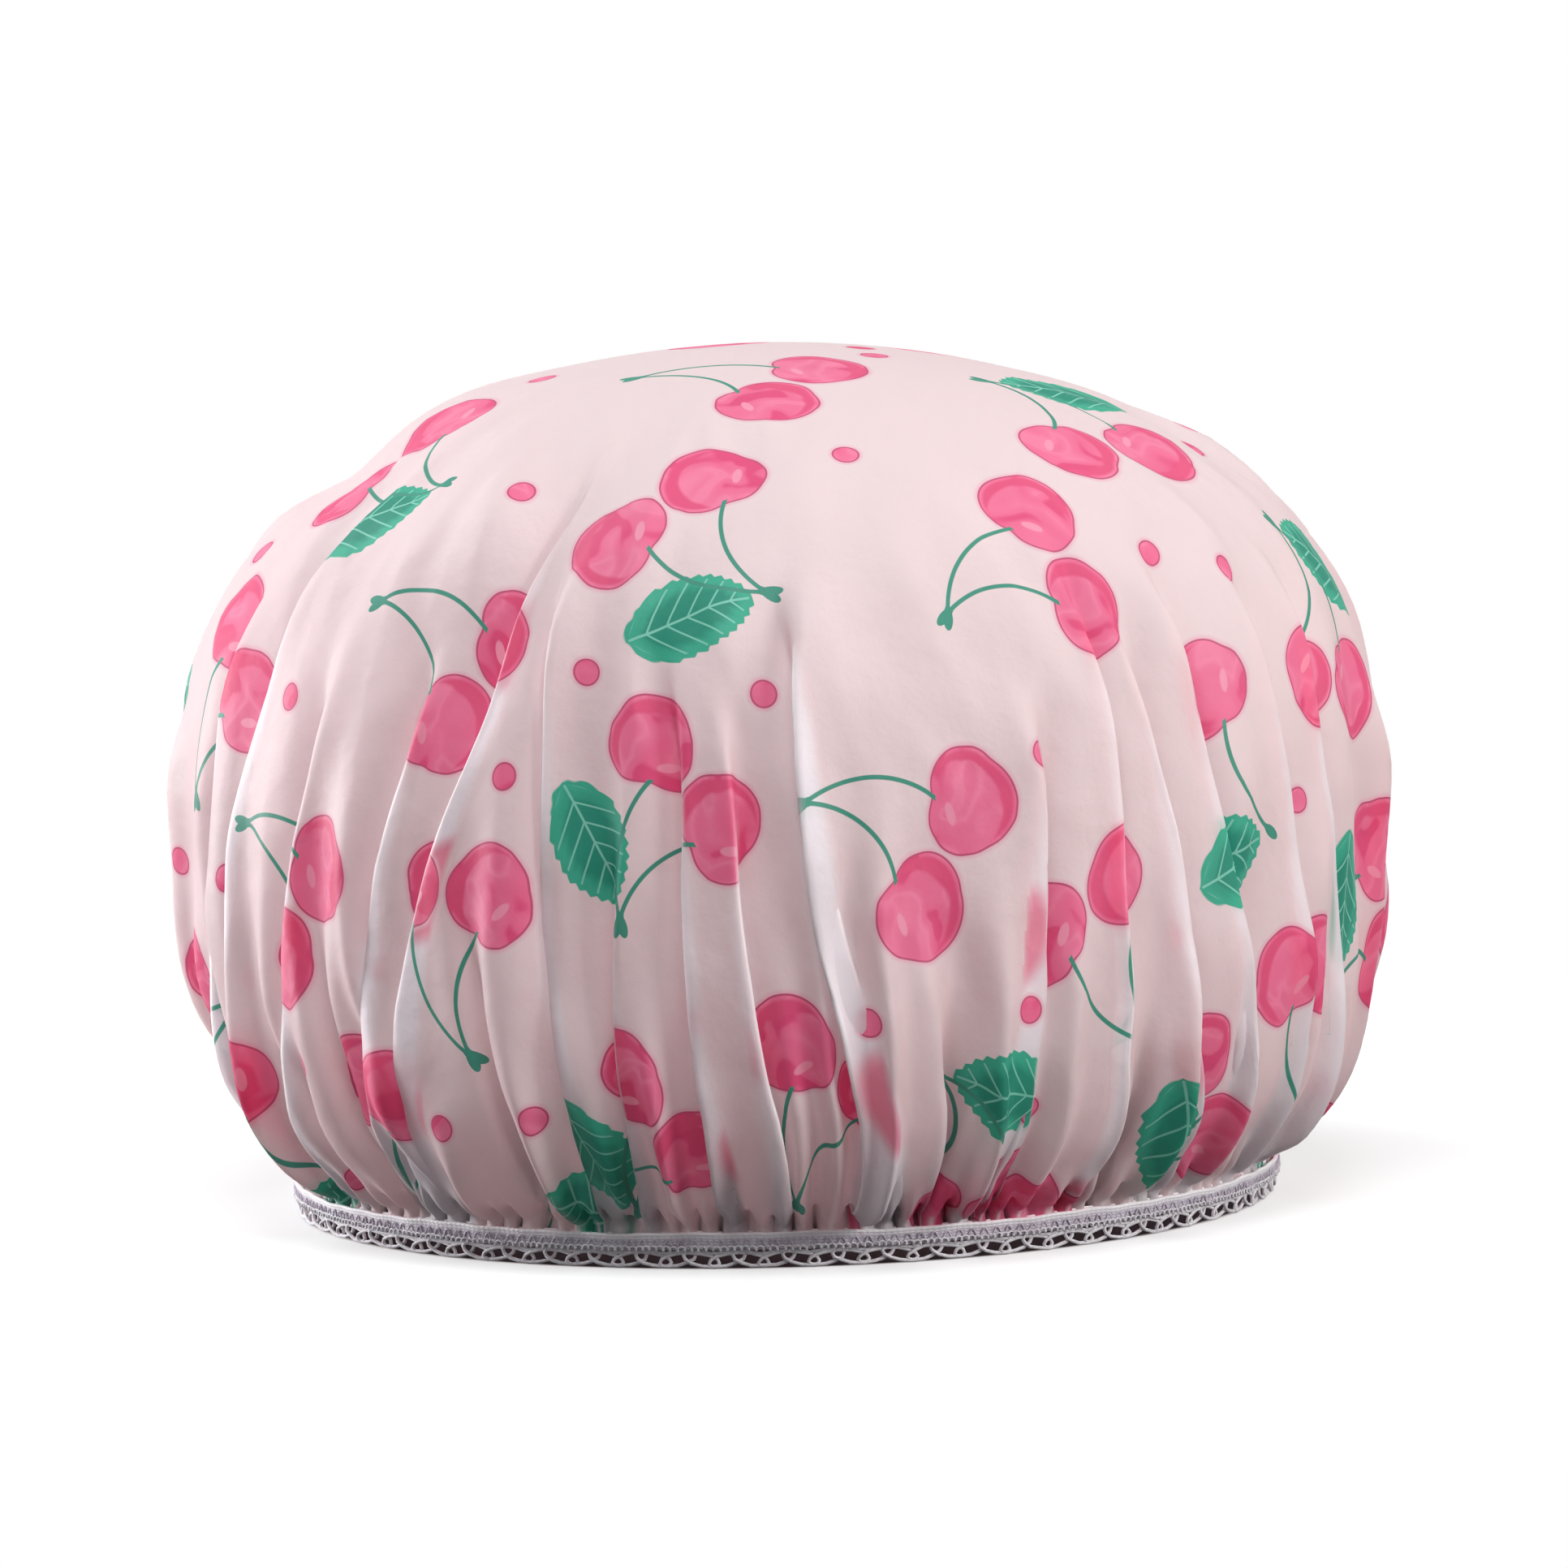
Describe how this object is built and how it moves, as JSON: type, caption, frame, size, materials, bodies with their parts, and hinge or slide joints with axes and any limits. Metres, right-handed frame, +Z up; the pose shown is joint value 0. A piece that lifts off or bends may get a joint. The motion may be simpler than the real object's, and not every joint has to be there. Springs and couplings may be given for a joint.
{
  "type": "shower cap",
  "caption": "Puffed round shower cap of thin frosted film, gathered at the hem into an elastic tape with a lace edge; it covers hair in the shower.",
  "frame": {"origin": "on the surface that the lace's feet stand on, under the middle of the cap", "axes": "+Z up to the top of the crown, -Y towards the front that the picture shows, +Y towards the join of the trim"},
  "size_m": [0.2251, 0.2258, 0.1607],
  "materials": {
    "film": "satin",
    "tape": "matte",
    "elastic": "matte",
    "lace": "matte",
    "thread": "satin"
  },
  "bodies": {
    "root": {"film_crown": "film", "hem_tape": "tape", "elastic_strand_1": "elastic", "elastic_strand_2": "elastic", "lace_edging": "lace", "seam_thread_outer": "thread", "seam_thread_inner": "thread", "join_tack": "thread"}
  },
  "joints": []
}
